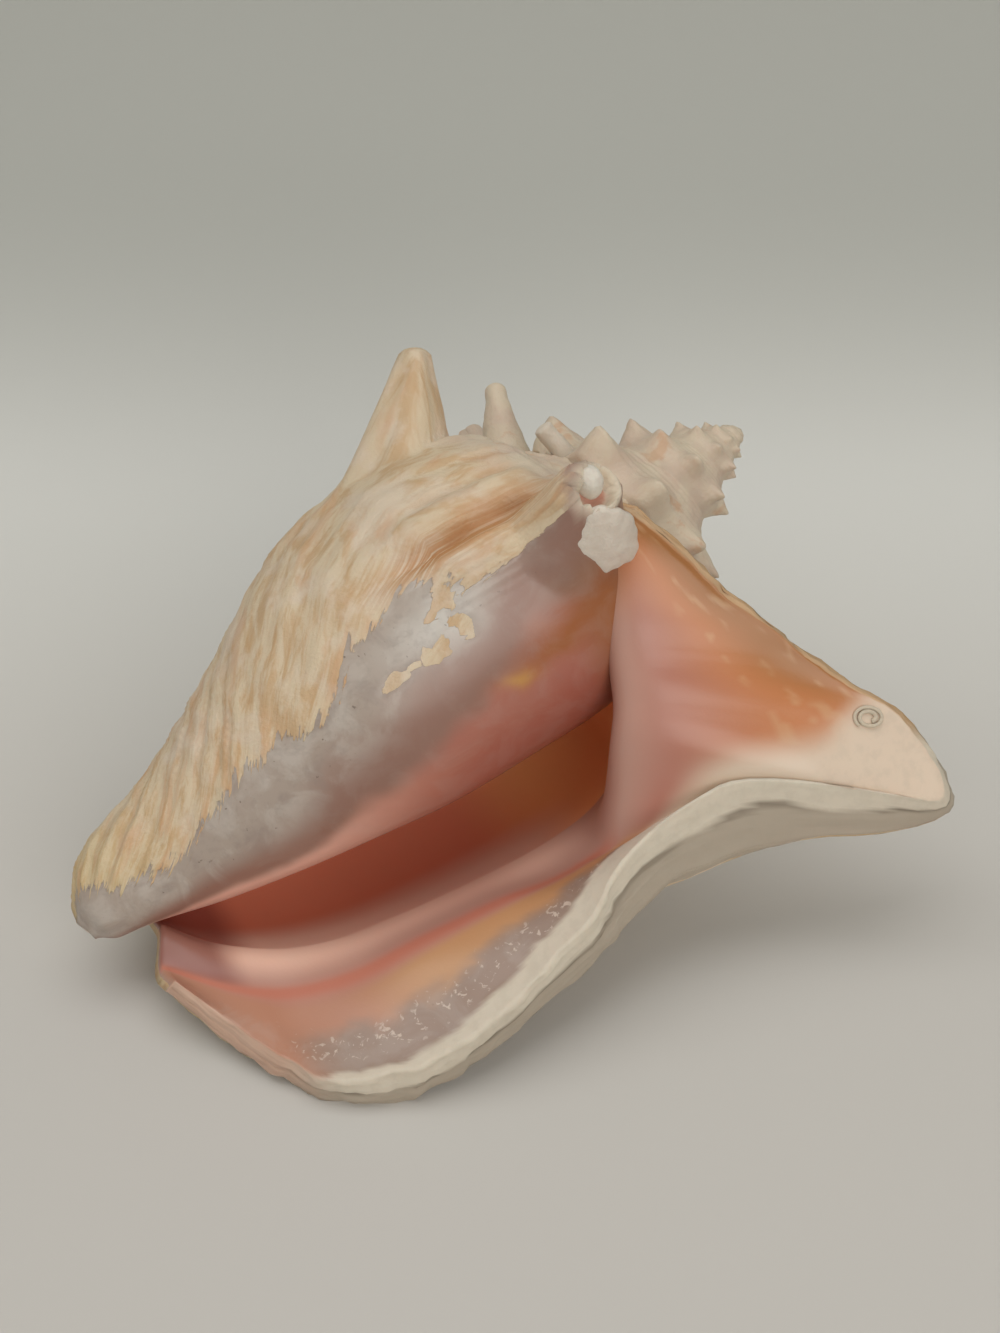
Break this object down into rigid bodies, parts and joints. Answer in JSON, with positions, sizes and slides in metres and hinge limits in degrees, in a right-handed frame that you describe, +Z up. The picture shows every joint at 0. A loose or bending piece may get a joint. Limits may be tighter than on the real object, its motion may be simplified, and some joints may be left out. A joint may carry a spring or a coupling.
{
  "type": "conch shell",
  "caption": "Large spined sea shell: a coiled body whorl with a pointed spire, blunt spines, a flared wing lip and an open aperture, lying on its back.",
  "frame": {"origin": "centre of the bounding box on the table that the shell lies on", "axes": "+Z up; the open side faces -Y and +Z; the apex and the wing tip point to +X and the canal tip to -X"},
  "size_m": [0.2196, 0.1716, 0.1298],
  "materials": {
    "shell_lime": "weathered matt lime outside, glossy enamel round the aperture"
  },
  "bodies": {
    "root": {"shell": "shell_lime"}
  },
  "joints": []
}
